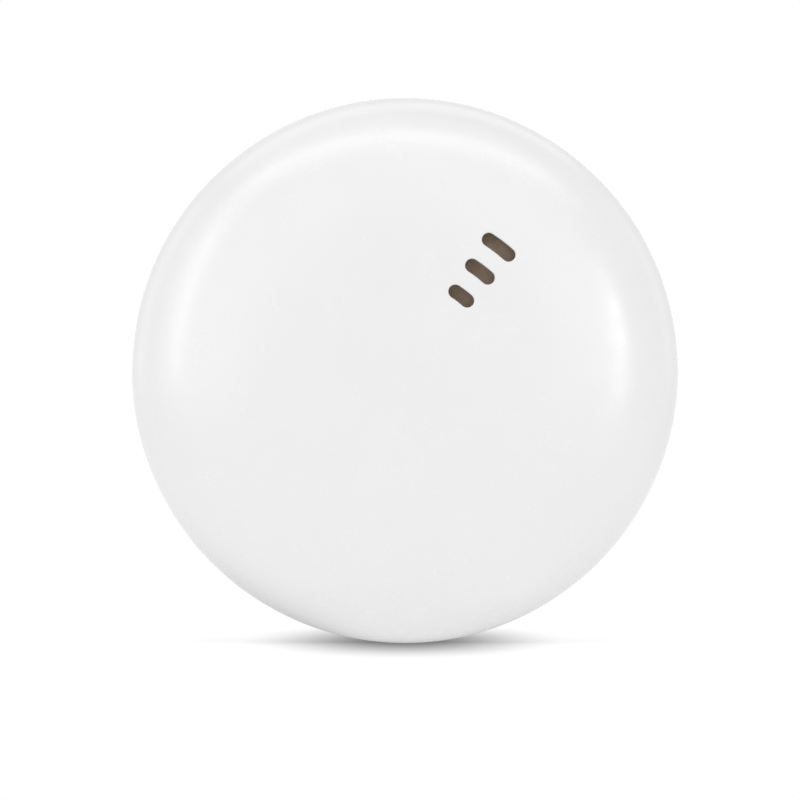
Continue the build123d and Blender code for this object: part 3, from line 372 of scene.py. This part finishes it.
class Paper(Material):
    """The table's shader, built up in steps."""

    def glow(self, strength):
        node = self.nodes.new("ShaderNodeEmission")
        node.inputs["Strength"].default_value = strength
        return node.outputs["Emission"]

    def both(self, first, second):
        node = self.nodes.new("ShaderNodeAddShader")
        self.links.new(first, node.inputs[0])
        self.links.new(second, node.inputs[1])
        return node.outputs["Shader"]

    def between(self, factor, first, second):
        """The first shader at a factor of 0 and the second at 1, by a number or a socket."""
        node = self.nodes.new("ShaderNodeMixShader")
        if isinstance(factor, float):
            node.inputs["Fac"].default_value = factor
        else:
            self.links.new(factor, node.inputs["Fac"])
        self.links.new(first, node.inputs[1])
        self.links.new(second, node.inputs[2])
        return node.outputs["Shader"]

    def distance(self, x, y, reach=(1.0, 1.0)):
        """The distance from a point of the floor, where 1 is an ellipse of that reach."""
        centre, reach = (x, y, FLOOR_LEVEL), (*reach, 1.0)
        mapping = self.nodes.new("ShaderNodeMapping")
        mapping.inputs["Scale"].default_value = tuple(1 / r for r in reach)
        mapping.inputs["Location"].default_value = tuple(-c / r for c, r in zip(centre, reach))
        self.links.new(self.place, mapping.inputs["Vector"])
        node = self.nodes.new("ShaderNodeVectorMath")
        node.operation = "LENGTH"
        self.links.new(mapping.outputs["Vector"], node.inputs[0])
        return node.outputs["Value"]

    def dimmed(self, surface, distance, share):
        """The surface with that share of its light where the distance is 0, and all of it from 1 on."""
        return self.between(self.soft_spread(distance, share, 1, 0, 1), self.glow(0.0), surface)


paper = Paper("paper")
paper.colour(paper.noise(PAPER_MOTTLE, detail=2), *PAPER_TONES)
paper.set(Roughness=0.9, Specular_IOR_Level=0.0)
raised = paper.both(paper.shader.outputs["BSDF"], paper.glow(TABLE_LIFT))
near = paper.between(TABLE_LIT_SHARE, paper.glow(1.0), raised)
# Painted shadow: the fixed dark ellipse on the floor under the alarm
near = paper.dimmed(near, paper.distance(0, SHADOW_CENTRE_Y, SHADOW_REACH), SHADOW_DEPTH)
away = paper.spread(paper.distance(0, 0), 0, 1, *FADE_TO_WHITE)
seen = paper.between(away, near, paper.glow(1.0))
felt = paper.between(TABLE_LIT_SHARE, paper.glow(TABLE_GLOW), raised)
# Painted shade: fixed dark patches in the table's glow, felt only by the alarm's diffuse light
for foot_x, share in BOUNCE_SHADES:
    felt = paper.dimmed(felt, paper.distance(foot_x, BOUNCE_CENTRE_Y, BOUNCE_REACH), share)
surface = paper.between(plain_view(paper.nodes, paper.links), felt, seen)
paper.links.new(surface, paper.nodes["Material Output"].inputs["Surface"])
floor_mesh.materials.append(paper.material)

# Studio: white light from all sides, a little stronger from the room, the top and the left
SKY_MIDDLE = 0.733
SKY_TILT = (-0.05, -0.3, 0.25)
WHITE = (1, 1, 1, 1)

world = bpy.data.worlds.new("studio")
world.use_nodes = True
bpy.context.scene.world = world
w_nodes = world.node_tree.nodes
w_links = world.node_tree.links
tilt = w_nodes.new("ShaderNodeVectorMath")
tilt.operation = "DOT_PRODUCT"
tilt.inputs[1].default_value = SKY_TILT
w_links.new(w_nodes.new("ShaderNodeTexCoord").outputs["Generated"], tilt.inputs[0])
strength = w_nodes.new("ShaderNodeMath")
strength.operation = "ADD"
strength.inputs[1].default_value = SKY_MIDDLE
w_links.new(tilt.outputs["Value"], strength.inputs[0])
sky = w_nodes["Background"]
sky.inputs["Color"].default_value = WHITE
w_links.new(strength.outputs["Value"], sky.inputs["Strength"])
backdrop = w_nodes.new("ShaderNodeBackground")
backdrop.inputs["Color"].default_value = WHITE
choose = w_nodes.new("ShaderNodeMixShader")
w_links.new(plain_view(w_nodes, w_links), choose.inputs["Fac"])
w_links.new(sky.outputs["Background"], choose.inputs[1])
w_links.new(backdrop.outputs["Background"], choose.inputs[2])
w_links.new(choose.outputs["Shader"], w_nodes["World Output"].inputs["Surface"])

paper.material.cycles.emission_sampling = "NONE"
world.cycles.sampling_method = "NONE"

# Lamps: each one's clock angle seen from the room, its angle off the view, its size and its radiance
LAMPS = {
    "box_top": (92, 46, (1.25, 0.19), 3),
    "box_top_wide": (97, 52, (1.3, 0.75), 0.5),
    "box_left": (160, 44, (0.16, 0.5), 3.3),
    "box_left_wide": (165, 48, (0.5, 0.8), 0.8),
    "box_right": (8, 34, (0.07, 0.35), 12),
    "box_arch_0": (0, 24, (0.34, 0.34), 0.9),
    "box_arch_45": (45, 24, (0.34, 0.34), 0.8),
    "box_arch_90": (90, 24, (0.34, 0.34), 0.6),
    "box_arch_135": (135, 24, (0.34, 0.34), 0.7),
    "box_arch_180": (180, 24, (0.34, 0.34), 0.9),
    "box_over": (92, 100, (1.7, 0.5), 1.0),
    "box_beside_right": (15, 100, (0.5, 0.9), 0.5),
    "box_beside_left": (165, 100, (0.5, 0.9), 0.6),
    "box_back": (90, 165, (0.8, 0.5), 0.8),
}
LAMP_DISTANCE = 1.0
# All but this one give highlights alone
LIGHTING_LAMP = "box_back"

for name, (clock, off_axis, size, radiance) in LAMPS.items():
    light = bpy.data.lights.new(name, "AREA")
    light.shape = "RECTANGLE"
    light.size, light.size_y = size
    # A flat lamp's power is its radiance times its area and pi
    light.energy = radiance * math.pi * size[0] * size[1]
    lamp = bpy.data.objects.new(name, light)
    bpy.context.scene.collection.objects.link(lamp)
    clock, off_axis = math.radians(clock), math.radians(off_axis)
    sideways = math.sin(off_axis)
    towards = Vector((sideways * math.cos(clock), -math.cos(off_axis), sideways * math.sin(clock)))
    lamp.location = towards * LAMP_DISTANCE + Vector((0, -RIM_DEPTH, 0))
    lamp.rotation_euler = towards.to_track_quat("Z", "Y").to_euler()
    lamp.visible_camera = False
    lamp.visible_diffuse = name == LIGHTING_LAMP

# Camera: on the alarm's level, with the disc's centre a little right of and above the picture's
PICTURE = 800
DISC_CENTRE_PX = (405, 370)
DISC_RADIUS_PX = 273
CAMERA_DISTANCE = 1.0
CAMERA_CLIP = (0.05, 50)
SENSOR_MM = 36

pixels_per_metre = DISC_RADIUS_PX / COVER_RADIUS
lens = bpy.data.cameras.new("camera")
lens.sensor_width = SENSOR_MM
lens.lens = SENSOR_MM * pixels_per_metre * CAMERA_DISTANCE / PICTURE
lens.clip_start, lens.clip_end = CAMERA_CLIP
camera = bpy.data.objects.new("camera", lens)
bpy.context.scene.collection.objects.link(camera)
camera.location = (
    (PICTURE / 2 - DISC_CENTRE_PX[0]) / pixels_per_metre,
    -RIM_DEPTH - CAMERA_DISTANCE,
    (DISC_CENTRE_PX[1] - PICTURE / 2) / pixels_per_metre,
)
camera.rotation_euler = (math.radians(90), 0, 0)
bpy.context.scene.camera = camera
bpy.context.scene.view_settings.view_transform = "Standard"
